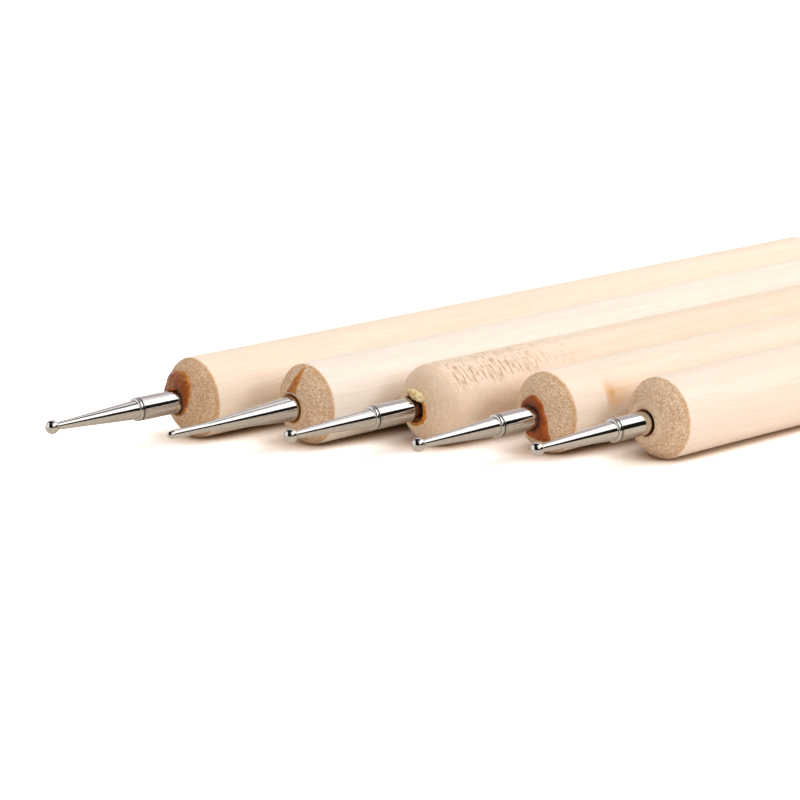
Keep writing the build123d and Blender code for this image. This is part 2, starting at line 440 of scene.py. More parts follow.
def handle(lie, wood):
    """A turned handle. Its profile is carried round the axis, the dome's rows are spread where the
    mouth of the bore is ragged, and the bore's rows sink by the tip's drop. The cut fibres of the
    domes are rough by 0.03 mm of coarse noise and 0.02 mm of fine, and the grip is out of round by
    0.015 mm."""
    number = lie.number
    columns = 208 if number == 3 else 160
    phi = turns(columns)
    front, rear = (filled(end_rows(lie, wood, end), 0.6 * MM) for end in ("front", "rear"))
    stop = lie.length / MM - 0.5
    if number == 3:
        # its rows stand closest where the chatter marks are
        grip = np.r_[1.3:14:0.065, 14:25:0.16, 25:stop:1.2] * MM
    else:
        grip = np.r_[0.5:5:0.25, 5:stop:0.8] * MM
    station = np.r_[-front[:, 0], grip, lie.length + rear[::-1, 0]][:, None]
    radius = np.r_[front[:, 1], np.full(len(grip), lie.radius), rear[::-1, 1]][:, None]
    grid_phi = np.broadcast_to(phi, (len(station), columns))
    station, radius = (np.repeat(x, columns, axis=1) for x in (station, radius))
    drop = np.zeros_like(station)
    line = dome(wood, lie.radius)
    for end in ("front", "rear"):
        out = -station if end == "front" else station - lie.length
        bore = bore_mouth(number, end)
        mouth = out_at(line, bore)
        in_bore = (radius <= bore * 1.0001) & (out < mouth + 1 * MM) & (out > -11 * MM)
        at_end = (out > -0.01 * MM) | in_bore
        inward = np.clip((lie.radius - radius) / (lie.radius - bore), 0, 1) ** 2
        share = np.where(in_bore, np.exp((out - mouth) / (1.2 * MM)), inward) * at_end
        drop += np.where(in_bore, 1.0, share) * lie.ends[end][1] * at_end
        if end == "front" and number in RAGGED:
            ragged = around(RAGGED[number], phi) * MM - bore
            lumps = 0.12 * MM * noise(lie.at(0, 3 * MM, phi), 0.7 * MM, 30 + number)
            radius = radius + share * (ragged + lumps * ramp(ragged, 0, 0.2 * MM)) * (radius > 0)
            station = np.where((out > 0.3 * MM) & ~in_bore, -out_at(line, radius), station)
    points = lie.at(station, radius, phi)
    beyond = np.maximum(-station, station - lie.length)
    grain = ramp(beyond + 0.05 * MM * noise(points, 0.5 * MM, number), -0.08 * MM, 0.1 * MM)
    grain = np.maximum(grain, (radius < 0.93 * lie.radius).astype(float))
    if number == 3:
        # its front was sanded over, so the dome there is nearly as smooth and pale as the grip
        soft = 1 - ramp(radius + 0.3 * MM * noise(points, 1.1 * MM, 7), 2.2 * MM, 4.2 * MM)
        on_grip = 0.3 * (1 - ramp(station, 5 * MM, 22 * MM)) * (0.8 + 0.6 * noise(points, 1.5 * MM, 9))
        on_dome = ramp(-station, -0.6 * MM, 1.0 * MM) * (0.34 + 0.35 * soft)
        grain = np.where(station < 0.4 * lie.length, np.maximum(on_dome, on_grip), grain)
    rough = 0.03 * MM * noise(points, 0.33 * MM, 40 + number)
    rough = rough + 0.02 * MM * noise(points, 0.17 * MM, 50 + number)
    along_grip = np.stack([station / 12, grid_phi * 3 * MM, radius * 0], -1)
    uneven = 0.015 * MM * noise(along_grip, MM, 60 + number)
    change = np.where(radius > 0.4 * lie.radius, rough * grain, 0) + uneven * (1 - grain)
    torn = np.zeros_like(station)
    if number == 3:
        # chatter marks: short tears across the fibres that the cutter left near the front
        degrees = np.degrees(grid_phi)
        where = ramp(degrees, 20, 45) * (1 - ramp(degrees, 120, 150))
        where = where * ramp(station, 0.1 * MM, 1.2 * MM) * (1 - ramp(station, 11 * MM, 24 * MM))
        where = where * (1 - 0.5 * ramp(station, 8 * MM, 15 * MM))
        place = np.stack([station, lie.radius * grid_phi, radius * 0], -1)
        marks = ramp(noise(place, [0.17 * MM, 0.75 * MM, MM], 71), 0.3, 0.75)
        finer = ramp(noise(place + 5 * MM, [0.13 * MM, 0.45 * MM, MM], 72), 0.35, 0.8)
        marks = np.maximum(marks, 0.8 * finer)
        fuzz = noise(place, [0.2 * MM, 0.3 * MM, MM], 73)
        # painted shade: the torn mask also darkens the marks' colour, as shade in their grooves
        torn = marks * where
        change += (-0.075 * MM * marks + 0.02 * MM * fuzz) * where
    stain = np.zeros_like(station)
    if number == 4:
        # glue that was wiped along the grip, from a sharp edge backwards
        wiped = ramp(station, 4.9 * MM, 5.1 * MM) * np.exp(-np.maximum(station - 5 * MM, 0) / (2.4 * MM))
        stain = wiped * np.exp(-(((np.degrees(grid_phi) - 22) / 19) ** 2))
        stain = stain * (1.0 + 0.5 * noise(points, 0.5 * MM, 81))
    rim = np.exp(-(((beyond - 0.22 * MM) / (0.24 * MM)) ** 2)) * (0.6 + 0.5 * noise(points, 1.4 * MM, 83))
    rim = np.clip(rim * GOLDEN_RIMS.get(number, 0.45), 0, 1)
    # the fifth bore has a paler ring round its mouth
    mouth_ring = np.exp(-(((radius - 2.05 * MM) / (0.3 * MM)) ** 2)) * grain * (number == 5)
    grid = lie.at(station, radius + change * (radius > 0), phi, drop)
    name = f"stylus_{number}_turned_handle"
    return skin(name, grid, grain=grain, torn=torn, stain=stain, rim=rim, mouth=mouth_ring)


# The noise in the wood: length and width of a cell in mm, seed, detail and roughness
WOOD_NOISE = {
    "fibres": (7, 0.22, 1, 3.0, 0.55),
    "fine": (2.4, 0.09, 2, 3.0, 0.55),
    "broad": (34, 1.9, 3, 1.0, 0.55),
    "speckle": (0.14, 0.14, 4, 3.0, 0.75),
    "clouds": (1.4, 1.4, 5, 2.0, 0.55),
}
# How the patterns darken the wood: the values where each shade starts and is full, and its depth
STREAKS = {"fibres": (0.42, 0.72, 0.3), "fine": (0.4, 0.7, 0.3)}
BANDS = {"broad": (0.35, 0.7, 0.2), "rings": (0.6, 1, 0.08)}
PORES = {"speckle": (0.41, 0.6, 0.85), "clouds": (0.4, 0.7, 0.16), "lathe": (0.3, 1, 0.08)}
# How far glue that soaked in has darkened each front dome
STAINED_ENDS = {1: 0.22, 2: 0.08, 4: 0.05}
# The marks on the wood: how strong each is, and its colour. The torn marks' colour is painted shade in their grooves
WOOD_MARKS = {
    "rim": (0.6, "#D9A360"), "mouth": (0.55, "#F3DFC6"), "torn": (0.8, "#BE906A"), "stain": (0.9, "#DDA23A"),
}


def wood_finish(lie, wood):
    """Limewood or birch dowel, turned, sanded and left bare. It gives a pale matt surface with
    faint fibre streaks along the handle, and domes of cut fibres that drink the light, tan and
    speckled. The streaks are 0.22 mm wide and 7 mm long, drawn at about twice the fibres' width
    so that they show, and the pores of the end grain 0.14 mm."""
    number = lie.number
    made, tree = material(f"bare_turned_birch_{number}")
    turn = -atan2(lie.along[1], lie.along[0])
    # in mm from the edge of the front dome, with X along the handle
    to_mm = {"Location": Matrix.Rotation(turn, 3, "Z") @ Vector(lie.origin) * -1000, "Scale": (1000, 1000, 1000)}
    place = add(tree, "TexCoord", output="Object")
    local = add(tree, "Mapping", {"Vector": place, "Rotation": (0, 0, turn), **to_mm})
    patterns = {}
    for name, (length, width, seed, detail, roughness) in WOOD_NOISE.items():
        pitch = (1 / length, 1 / width, 1 / width)
        cells = add(tree, "VectorMath", {0: local, 1: pitch}, operation="MULTIPLY")
        kind = {"W": seed + number * 7.3, "Scale": 1.0, "Detail": detail, "Roughness": roughness}
        patterns[name] = add(tree, "TexNoise", {"Vector": cells, **kind}, noise_dimensions="4D")
    patterns["rings"] = add(
        tree, "TexWave",
        {"Vector": local, "Scale": 0.19, "Distortion": 2.2, "Detail": 2.0, "Detail Scale": 0.7},
        output="Fac", wave_type="BANDS", bands_direction="Y" if number % 2 else "Z",
    )
    patterns["lathe"] = add(
        tree, "TexWave",
        {"Vector": local, "Scale": 0.62, "Distortion": 0.5, "Detail": 1.0, "Detail Scale": 2.0},
        output="Fac", wave_type="RINGS", rings_direction="X",
    )

    def shaded(shades, total):
        """The total and the depths of the shades, one pattern after another."""
        for name, (low, high, depth) in shades.items():
            part = add(tree, "MapRange", {0: patterns[name], 1: low, 2: high, 4: depth})
            total = add(tree, "Math", {0: total, 1: part}, operation="ADD")
        return total

    pale = tuple(getattr(wood, f"pale_{number}"))
    deep = tuple(np.array(pale) * (0.86, 0.79, 0.7, 1))
    streaks = shaded(STREAKS, 0.0)
    bands = shaded(BANDS, streaks)
    pores = shaded(PORES, STAINED_ENDS.get(number, 0.0))
    end_pale, end_deep = tuple(wood.end_pale), tuple(wood.end_deep)
    grain = add(tree, "Attribute", output="Fac", attribute_name="grain")
    long_grain = add(tree, "Mix", {0: bands, 6: pale, 7: deep}, **COLOURS)
    end_grain = add(tree, "Mix", {0: pores, 6: end_pale, 7: end_deep}, **COLOURS)
    body = add(tree, "Mix", {0: grain, 6: long_grain, 7: end_grain}, **COLOURS)
    for name, (strength, code) in WOOD_MARKS.items():
        mark = add(tree, "Attribute", output="Fac", attribute_name=name)
        mark = add(tree, "MapRange", {0: mark, 4: strength})
        body = add(tree, "Mix", {0: mark, 6: body, 7: colour(code)}, **COLOURS)
    pits = add(tree, "Math", {0: patterns["speckle"], 1: 1.6}, operation="MULTIPLY")
    relief = add(tree, "Mix", {0: grain, 2: streaks, 3: pits}, data_type="FLOAT")
    bump = add(tree, "Bump", {"Height": relief, "Strength": 0.9, "Distance": 0.035 * MM})
    rough = add(tree, "MapRange", {0: patterns["fibres"], 1: 0.35, 2: 0.7, 3: 0.62, 4: 0.76})
    glow = {"Subsurface Weight": 0.3, "Subsurface Radius": (1.0, 0.55, 0.3), "Subsurface Scale": 0.6 * MM}
    gloss = {"Roughness": rough, "IOR": 1.45, "Specular IOR Level": 0.3}
    finish_with(tree, add(tree, "BsdfPrincipled", {"Base Color": body, "Normal": bump, **gloss, **glow}))
    return made


class TurnHandles(bpy.types.Operator):
    """Turns the five wooden handles, with a bored dome at each end."""

    bl_idname = "stylus.turn_handles"
    bl_label = "Turn the handles"

    def execute(self, context):
        wood = settings("wood")
        for number, lie in LIES.items():
            keep(handle(lie, wood), number, wood_finish(lie, wood), "turned_wood", f"stylus_{number}_handle")
        return {"FINISHED"}


# ---- Plated metal ----


def plated():
    """Nickel-plated steel, drawn and turned, then plated bright. It mirrors the room, and the
    plating's fine orange peel, cells of 0.35 mm, and turning marks break the mirror up."""
    made, tree = material("bright_nickel_plating")
    place = add(tree, "TexCoord", output="Object")
    grit = {"Detail": 2.0, "Roughness": 0.6}
    peel = add(tree, "TexNoise", {"Vector": place, "Scale": 1 / (0.35 * MM), **grit})
    # turning marks 0.09 mm apart along the styluses and 1.2 mm long across them
    pitch = (1 / (0.09 * MM), 1 / (1.2 * MM), 1 / (1.2 * MM))
    cells = add(tree, "VectorMath", {0: place, 1: pitch}, operation="MULTIPLY")
    marks = add(tree, "TexNoise", {"Vector": cells, "Scale": 1.0, **grit})
    relief = add(tree, "Math", {0: peel, 1: marks}, operation="ADD")
    bump = add(tree, "Bump", {"Height": relief, "Strength": 0.25, "Distance": 0.005 * MM})
    rough = add(tree, "MapRange", {0: marks, 1: 0.35, 2: 0.7, 3: 0.015, 4: 0.05})
    bright = tuple(settings("metal").plate)
    dull = tuple(np.array(bright) * (0.86, 0.85, 0.83, 1))
    share = add(tree, "MapRange", {0: peel, 1: 0.35, 2: 0.75})
    body = add(tree, "Mix", {0: share, 6: bright, 7: dull}, **COLOURS)
    # painted shade: the seam between a tip and its sleeve is darkened to near black, as the groove there would be in
    # shade
    dirt = add(tree, "Attribute", output="Fac", attribute_name="dirt")
    body = add(tree, "Mix", {0: dirt, 6: body, 7: colour("#14110E")}, **COLOURS)
    look = {"Base Color": body, "Metallic": 1.0, "Roughness": rough, "Normal": bump}
    finish_with(tree, add(tree, "BsdfPrincipled", look))
    return made


def standoff(number, end):
    """How far a sleeve's back edge stands off the wood. The third front sleeve was not pushed home."""
    return (0.9 if (number, end) == (3, "front") else 0.1) * MM


def ball_radius(number, end, metal):
    """The front balls are alike. The rear ones grow from half of the largest on the first stylus
    to all of it on the fifth."""
    return metal.front_ball if end == "front" else metal.rear_ball * (0.5 + 0.125 * (number - 1))


def ball_tip(lie, end, metal, finish):
    """A ball tip. The ball's outline is r = b sin a, out = c + b cos a, from its pole to the angle
    where r is the neck's radius. Straight lines run on down the cone, over the shoulder with
    rounded corners, round a fine groove at the sleeve and along the tang inside it."""
    out, drop = lie.ends[end]
    ball = ball_radius(lie.number, end, metal)
    neck = metal.front_neck if end == "front" else 0.45 * ball
    centre = out - ball
    angle = np.linspace(0, np.pi - np.arcsin(neck / ball), 40)
    arc = np.stack([centre + ball * np.cos(angle), ball * np.sin(angle)], -1)
    arc[0, 1] = 0
    seat = centre - metal.tip_length
    start, last = seat + metal.shoulder, seat - metal.tang_length
    shoulder = [(start, metal.cone_end), (start, metal.sleeve), (seat, metal.sleeve)]
    tang = [(seat, metal.tang), (last, metal.tang), (last, 0)]
    body = softened([arc[-1], *shoulder, *tang], [0.05 * MM, 0.2 * MM, 0.1 * MM, 0, 0])
    profile = np.concatenate([arc[:-1], filled(body, 0.5 * MM)])
    piece = turned(f"stylus_{lie.number}_{end}_ball_tip", lie, end, profile, drop=drop, seam=seat)
    return keep(piece, lie.number, finish, "plated_metal", f"stylus_{lie.number}_{end}_tip")


def sleeve(lie, end, metal, finish):
    """A sleeve: a tube with both outer edges rounded, and a thinner shank on into the wood. Its
    back edge runs 0.07 mm into its standoff."""
    out, drop = lie.ends[end]
    mouth = out - ball_radius(lie.number, end, metal) - metal.tip_length
    depth = settings("wood").dome_depth
    back, last = depth + standoff(lie.number, end) - 0.07 * MM, depth - metal.hidden
    tube = [(mouth, metal.sleeve_bore), (mouth, metal.sleeve), (back, metal.sleeve)]
    shank = [(back, metal.shank), (last, metal.shank), (last, metal.sleeve_bore), (mouth, metal.sleeve_bore)]
    profile = filled(softened([*tube, *shank], [0.12 * MM, 0.1 * MM, 0, 0, 0]), 0.5 * MM)[:-1]
    name = f"stylus_{lie.number}_{end}_plated_sleeve"
    piece = turned(name, lie, end, profile, looped=True, drop=drop, seam=mouth)
    return keep(piece, lie.number, finish, "plated_metal", f"stylus_{lie.number}_{end}_sleeve")


def pointed_tip(lie, metal, finish):
    """The plain pointed tip. Its nose is an arc of radius q = (l^2 + f^2) / 2f, at
    r - q + sqrt(q^2 - x^2) from the axis at x from its root, with l the nose's length, r the
    neck's radius and f how much more that is than the flat end's. A parallel neck, a long
    straight cone and a shank follow."""
    out, drop = lie.ends["front"]
    depth = settings("wood").dome_depth
    nose, neck = metal.point_nose, metal.point_neck
    fall = neck - metal.point_flat
    q = (nose**2 + fall**2) / (2 * fall)
    x = nose * np.cos(np.linspace(0, np.pi / 2, 18))
    arc = np.stack([out - nose + x, neck - q + np.sqrt(q**2 - x**2)], -1)
    arc = np.concatenate([softened([(out, 0), arc[0], arc[3]], [0.08 * MM])[:-1], arc[3:]])
    waist, last = out - nose - metal.point_neck_length, depth - metal.hidden
    cone = [(waist, neck), (depth, metal.point_root), (last, metal.point_root), (last, 0)]
    body = softened([arc[-1], *cone], [1.2 * MM, 0, 0], 13)
    profile = np.concatenate([arc[:-1], filled(body, 0.5 * MM)])
    piece = turned(f"stylus_{lie.number}_front_pointed_tip", lie, "front", profile, drop=drop)
    return keep(piece, lie.number, finish, "plated_metal", f"stylus_{lie.number}_front_tip")


class SetTips(bpy.types.Operator):
    """Sets a ball tip and its sleeve in each end, and the plain point in the second stylus."""

    bl_idname = "stylus.set_tips"
    bl_label = "Set the tips"

    def execute(self, context):
        metal, finish = settings("metal"), plated()
        for number, lie in LIES.items():
            for end in ("front", "rear"):
                if (number, end) == (2, "front"):
                    pointed_tip(lie, metal, finish)
                else:
                    ball_tip(lie, end, metal, finish)
                    sleeve(lie, end, metal, finish)
        return {"FINISHED"}


# ---- Glue ----

# How far the glue spread over each front dome: phi in degrees and radius in mm
SPREAD = {
    1: [(322, 1.7), (355, 1.8), (18, 2.18), (38, 2.44), (59, 2.94), (94, 3.31), (108, 3.37), (133, 3.75),
        (151, 3.72), (162, 2.89), (180, 1.85), (240, 1.68)],
    2: [(18, 1.91), (36, 1.87), (51, 1.78), (66, 1.85), (75, 2.3), (81, 3.3), (86, 4.2), (91, 4.25),
        (95, 3.3), (100, 2.5), (112, 2.0), (125, 1.8), (180, 1.75), (270, 1.78)],
    3: [(28, 1.81), (65, 1.62), (120, 1.65), (180, 1.7), (237, 2.1), (262, 2.01), (301, 1.91), (335, 2.06),
        (358, 1.89)],
    4: [(245, 2.01), (296, 2.95), (303, 3.1), (310, 3.17), (318, 2.8), (330, 2.43), (0, 2.15), (22, 2.03),
        (60, 2.26), (87, 2.43), (111, 2.21), (131, 2.04), (147, 1.81), (180, 1.65), (220, 1.7)],
    5: [(0, 1.5), (90, 1.5), (180, 1.52), (235, 1.6), (270, 1.5)],
}
REAR_SPREAD = [(0, 1.75), (60, 1.85), (130, 1.7), (190, 1.95), (260, 1.75), (320, 1.8)]
# How much of the full height each front spread has, and how far below the mouth it lies, in mm
BUILD = {1: (1.0, 0.0), 2: (0.45, 0.2), 3: (0.5, 0.8), 4: (0.9, 0.12), 5: (0.2, 0.2)}
# How far the painted shade of each front ring's recess, beside the metal, reaches out from it, in mm
RECESS_SHADE = {1: 0.27, 2: 0.13, 3: 0.16, 4: 0.24, 5: 0.1}
# The crumbs: stylus, phi in degrees, radius and distance out in mm, reach in mm, seed and glue
CRUMBS = {
    "stylus_3_torn_chip": (3, 72, 1.72, 2.75, (0.5, 0.62, 0.46), 5, "straw"),
    "stylus_3_torn_splinter": (3, 56, 1.8, 2.65, (0.5, 0.5, 0.42), 8, "straw"),
    "stylus_3_torn_flake": (3, 100, 1.85, 2.75, (0.3, 0.35, 0.25), 21, "straw"),
    "stylus_1_dark_crust": (1, 96, 1.42, 2.95, (0.4, 0.6, 0.14), 12, "scorched"),
}


def glue_finish(name, thin, thick, roughness=0.14):
    """Hardened animal or epoxy glue, set as it ran. It is glassy and amber where it lies thin and
    brown where it lies thick, with lumps of 0.4 mm and fine wrinkles 0.14 mm apart."""
    made, tree = material(name)
    place = add(tree, "TexCoord", output="Object")
    crags = {"Scale": 1 / (0.4 * MM), "Detail": 4.0, "Roughness": 0.7}
    lumps = add(tree, "TexNoise", {"Vector": place, **crags})
    wrinkles = add(tree, "TexNoise", {"Vector": place, "Scale": 1 / (0.14 * MM), "Detail": 2.0})
    share = add(tree, "MapRange", {0: lumps, 1: 0.3, 2: 0.7, 3: -0.45, 4: 0.45})
    deep = add(tree, "Attribute", output="Fac", attribute_name="thickness")
    share = add(tree, "Math", {0: deep, 1: share}, operation="ADD", use_clamp=True)
    body = add(tree, "Mix", {0: share, 6: tuple(thin), 7: tuple(thick)}, **COLOURS)
    # painted shade: the glue darkens towards the metal, in the gap where shade falls
    recess = add(tree, "Attribute", output="Fac", attribute_name="recess")
    shade = tuple(settings("glue").shade)
    body = add(tree, "Mix", {0: recess, 6: body, 7: shade}, **COLOURS)
    fine = add(tree, "Math", {0: wrinkles, 1: 0.35}, operation="MULTIPLY")
    relief = add(tree, "Math", {0: lumps, 1: fine}, operation="ADD")
    bump = add(tree, "Bump", {"Height": relief, "Strength": 1.0, "Distance": 0.16 * MM})
    rough = add(tree, "MapRange", {0: wrinkles, 1: 0.3, 2: 0.7, 3: roughness, 4: roughness + 0.14})
    gloss = {"Roughness": rough, "IOR": 1.45, "Specular IOR Level": 0.4, "Coat Weight": 0.1, "Coat Roughness": 0.08}
    finish_with(tree, add(tree, "BsdfPrincipled", {"Base Color": body, "Normal": bump, **gloss}))
    return made


def glue_ring(lie, end, finish, spread, build, sunk):
    """The hardened glue round one tip, as a closed ring. Its section at each phi runs out over the dome
    from the metal, v = 0, to the glue's edge, v = 1, standing h (1 - v^3)^0.6 off the wood along the
    dome's normal with h the height times 1 plus noise, and climbing 0.15 mm up the metal. It runs back
    0.1 mm under the wood's surface, and down into the bore's gap by the metal."""
    wood, metal, glue = settings("wood"), settings("metal"), settings("glue")
    number, drop = lie.number, lie.ends[end][1]
    pointed, bare_shank = (number, end) == (2, "front"), standoff(number, end) > 0.5 * MM
    hidden = metal.point_root if pointed else metal.shank
    inner = hidden if pointed or bare_shank else metal.sleeve
    bore = bore_mouth(number, end)
    line = dome(wood, lie.radius)
    columns = 200
    phi = turns(columns)
    edge = around(spread, phi) * MM
    # the fourth spread is listed the most closely, so its edge strays less from the list
    stray = (0.04 if number == 4 else 0.12) * MM * noise(lie.at(0, 3 * MM, phi), 0.55 * MM, 90 + number)
    edge = edge + ramp(edge, 1.7 * MM, 2.2 * MM) * stray
    reach = np.maximum(edge, inner + 0.12 * MM)
    v = np.r_[np.linspace(0, 0.9, 15), 0.94, 0.97, 0.99, 1.0][:, None]
    radius = inner + v * (reach - inner)
    points = lie.at(lie.station(end, wood.dome_depth), radius, phi)
    lumps = 0.55 * noise(points, 0.75 * MM, 100 + number) + 0.25 * noise(points, 0.35 * MM, 110 + number)
    height = glue.height * build * np.minimum(1, np.sqrt((reach - inner) / (0.7 * MM))) * (1 + lumps)
    height = np.maximum(height, 0.03 * MM) * (1 - v**3) ** 0.6
    climb = 0.0 if sunk else 0.15 * MM * build * np.exp(-(radius - inner) / (0.12 * MM))
    if bare_shank:
        on_wood = ramp(radius, bore - 0.12 * MM, bore + 0.02 * MM)
    else:
        on_wood = ramp(radius, bore * 0.98, bore + 0.3 * MM)
    # the dome's normal leans 40 degrees out from the axis
    lean = on_wood * radians(40)
    out = out_at(line, np.maximum(radius, bore)) - (1 - on_wood) * sunk * MM
    top = np.stack([out + height * np.cos(lean) + climb, radius + height * np.sin(lean)], -1)
    under_radius = inner + v[::-3] * (reach - inner)
    under_wood = ramp(under_radius, bore * 0.98, bore + 0.1 * MM)
    under_out = out_at(line, np.maximum(under_radius, bore))
    under_out = under_out - under_wood * 0.08 * MM - (1 - under_wood) * (sunk + 0.5) * MM
    under = np.stack([under_out, under_radius - under_wood * 0.06 * MM], -1)
    # inside the bore the ring ends on the thinner shank
    floor = np.stack([under[-1, :, 0] - 1.5 * MM, np.full(columns, hidden)], -1)[None]
    # a bare shank wears a film of glue up to the sleeve
    film = np.empty((0, columns, 2))
    if bare_shank:
        film_start = wood.dome_depth + standoff(number, end) - 0.03 * MM
        film_out = np.linspace(film_start, top[0, :, 0].mean(), 8)[:, None] + 0 * phi
        film_points = lie.at(lie.station(end, film_out), inner, phi)
        film_thick = 0.05 * MM * (1 + 0.6 * noise(film_points, 0.4 * MM, 120))
        film = np.stack([film_out, inner + film_thick], -1)
    section = np.concatenate([film, top, under, floor])
    thick = np.concatenate([np.ones((len(film), columns)), height / glue.height, np.zeros((len(under) + 1, columns))])
    outward = section[..., 1] - inner
    # painted shade: the glue darkens close to the metal, and on the rear rings within 0.1 mm of it
    recess = np.exp(-((outward / (RECESS_SHADE[number] * MM)) ** 2)) if end == "front" else 0.5 * (outward < 0.1 * MM)
    # painted shade: the film on a bare shank, deep in the bore, is darkened as shade there
    recess[: len(film)] = 0.8
    sag = drop * np.clip((lie.radius - section[..., 1]) / (lie.radius - inner), 0, 1)
    grid = lie.at(lie.station(end, section[..., 0]), section[..., 1], phi, sag)
    piece = skin(f"stylus_{number}_{end}_glue_ring", grid, looped=True, thickness=thick, recess=recess)
    return keep(piece, number, finish, "hardened_glue", f"stylus_{number}_{end}_glue")


def crumb(name, lie, phi, radius, out, reach, seed, finish):
    """A crumb of glue and fibres on the dome: a ball whose radius is 1 plus 0.42 of a coarse noise
    and 0.3 of a fine one, stretched to its reach along, round and out from the handle, in mm."""
    columns, rows = 40, 24
    theta, turn = np.linspace(0, np.pi, rows)[:, None], turns(columns)
    ball = np.stack([np.cos(theta) + 0 * turn, np.sin(theta) * np.cos(turn), np.sin(theta) * np.sin(turn)], -1)
    ball = ball * (1 + 0.42 * noise(ball + seed, 0.6, seed) + 0.3 * noise(ball + seed, 0.27, seed + 1))[..., None]
    angle = radians(phi)
    outward = cos(angle) * lie.side + sin(angle) * lie.up
    tangent = np.cross(lie.along, outward)
    axes = np.stack([lie.along * reach[0], tangent * reach[1], outward * reach[2]]) * MM
    grid = lie.at(-out * MM, radius * MM, angle) + ball @ axes
    return keep(skin(name, grid, thickness=0.5), lie.number, finish, "hardened_glue")


class PourGlue(bpy.types.Operator):
    """Pours the glue round each tip, and leaves the crumbs that the photograph shows."""

    bl_idname = "stylus.pour_glue"
    bl_label = "Pour the glue"

    def execute(self, context):
        glue = settings("glue")
        glues = {
            "amber": glue_finish("hardened_amber_glue", glue.amber, glue.brown),
            "scorched": glue_finish("scorched_glue", glue.scorched, glue.red_brown),
            "straw": glue_finish("straw_coloured_glue", glue.straw, glue.straw_thick, 0.45),
        }
        for number, lie in LIES.items():
            front = glues["amber" if number < 4 else "scorched"]
            glue_ring(lie, "front", front, SPREAD[number], *BUILD[number])
            glue_ring(lie, "rear", glues["amber"], REAR_SPREAD, 0.5, 0.0)
        for name, (number, *place, kind) in CRUMBS.items():
            crumb(name, LIES[number], *place, glues[kind])
        return {"FINISHED"}


# ---- Stage ----

# The photograph's camera, solved from the handles' edges: where it stands from the
# edge of the fifth handle's front dome in mm, its angles in degrees and its lens in mm
CAMERA_FROM_FIFTH = (-265.911, -252.865, 91.25)
CAMERA_ANGLES = {"azimuth": 47.914, "down": 13.669, "roll": -0.557}
CAMERA_LENS = 158.304


def camera_axes():
    """The camera's right, top and view directions. With azimuth a and downward angle e it looks
    along (cos a cos e, sin a cos e, -sin e), and it is rolled about that line."""
    a, e, r = (radians(CAMERA_ANGLES[k]) for k in ("azimuth", "down", "roll"))
    view = np.array([cos(a) * cos(e), sin(a) * cos(e), -sin(e)])
    right = np.array([sin(a), -cos(a), 0.0])
    top = np.cross(right, view)
    return cos(r) * right + sin(r) * top, -sin(r) * right + cos(r) * top, view


def facing(x, y, z, place):
    """The matrix that turns an object's axes to x, y and z and puts it at a place."""
    return Matrix([*np.stack([x, y, z, place], -1).tolist(), [0, 0, 0, 1]])


def set_camera():
    """Sets the camera of the photograph."""
    right, top, view = camera_axes()
    data = bpy.data.cameras.new("photograph_camera")
    data.lens, data.sensor_width = CAMERA_LENS, 36
    data.clip_start = 0.01
    camera = placed("photograph_camera", data)
    camera.matrix_world = facing(right, top, -view, LIES[5].origin + np.array(CAMERA_FROM_FIFTH) * MM)
    bpy.context.scene.camera = camera


def card(name, points):
    """A sheet of the stage over a grid of points."""
    index = np.arange(points[..., 0].size).reshape(points.shape[:2])
    faces = np.stack([index[:-1, :-1], index[:-1, 1:], index[1:, 1:], index[1:, :-1]], -1).reshape(-1, 4)
    mesh = bpy.data.meshes.new(name)
    mesh.from_pydata(points.reshape(-1, 3), [], faces.tolist())
    made = placed(name, mesh)
    return made


def mirrored(across, up):
    """The direction that a ball mirrors to the camera from the point (across, up) of its disc,
    of radius 1: with k = sqrt(1 - across^2 - up^2) it is view (1 - 2k^2) + 2k (across right + up top)."""
    right, top, view = camera_axes()
    k = np.sqrt(1 - across**2 - up**2)[..., None]
    return view * (1 - 2 * k**2) + 2 * k * (across[..., None] * right + up[..., None] * top)


def toward(azimuth, elevation):
    """The direction (cos a cos e, sin a cos e, sin e) of an azimuth a and elevation e in degrees."""
    a, e = np.radians(azimuth), np.radians(elevation)
    return np.stack([np.cos(a) * np.cos(e), np.sin(a) * np.cos(e), np.sin(e)], -1)


def room_patch(name, rows, direction, tone, distance=1.3):
    """A sheet that only mirrors show, which paints the reflection of a part of the room, such as a dark
    doorway or a wall. Its rows give a first coordinate and the low and high ends of the second one
    there. Each of its points lies distance away in the direction of those two."""
    rows = np.array(rows, float)
    first = np.linspace(rows[0, 0], rows[-1, 0], 40)
    low, high = np.interp(first, rows[:, 0], rows[:, 1]), np.interp(first, rows[:, 0], rows[:, 2])
    second = low + np.linspace(0, 1, 12)[:, None] * (high - low)
    patch = card(name, direction(np.broadcast_to(first, second.shape), second) * distance)
    made, tree = material(f"{name}_tone")
    finish_with(tree, add(tree, "Emission", {"Color": (*tone, 1), "Strength": 1.0}))
    patch.data.materials.append(made)
    for kind in ("camera", "diffuse", "transmission", "volume_scatter", "shadow"):
        setattr(patch, f"visible_{kind}", False)


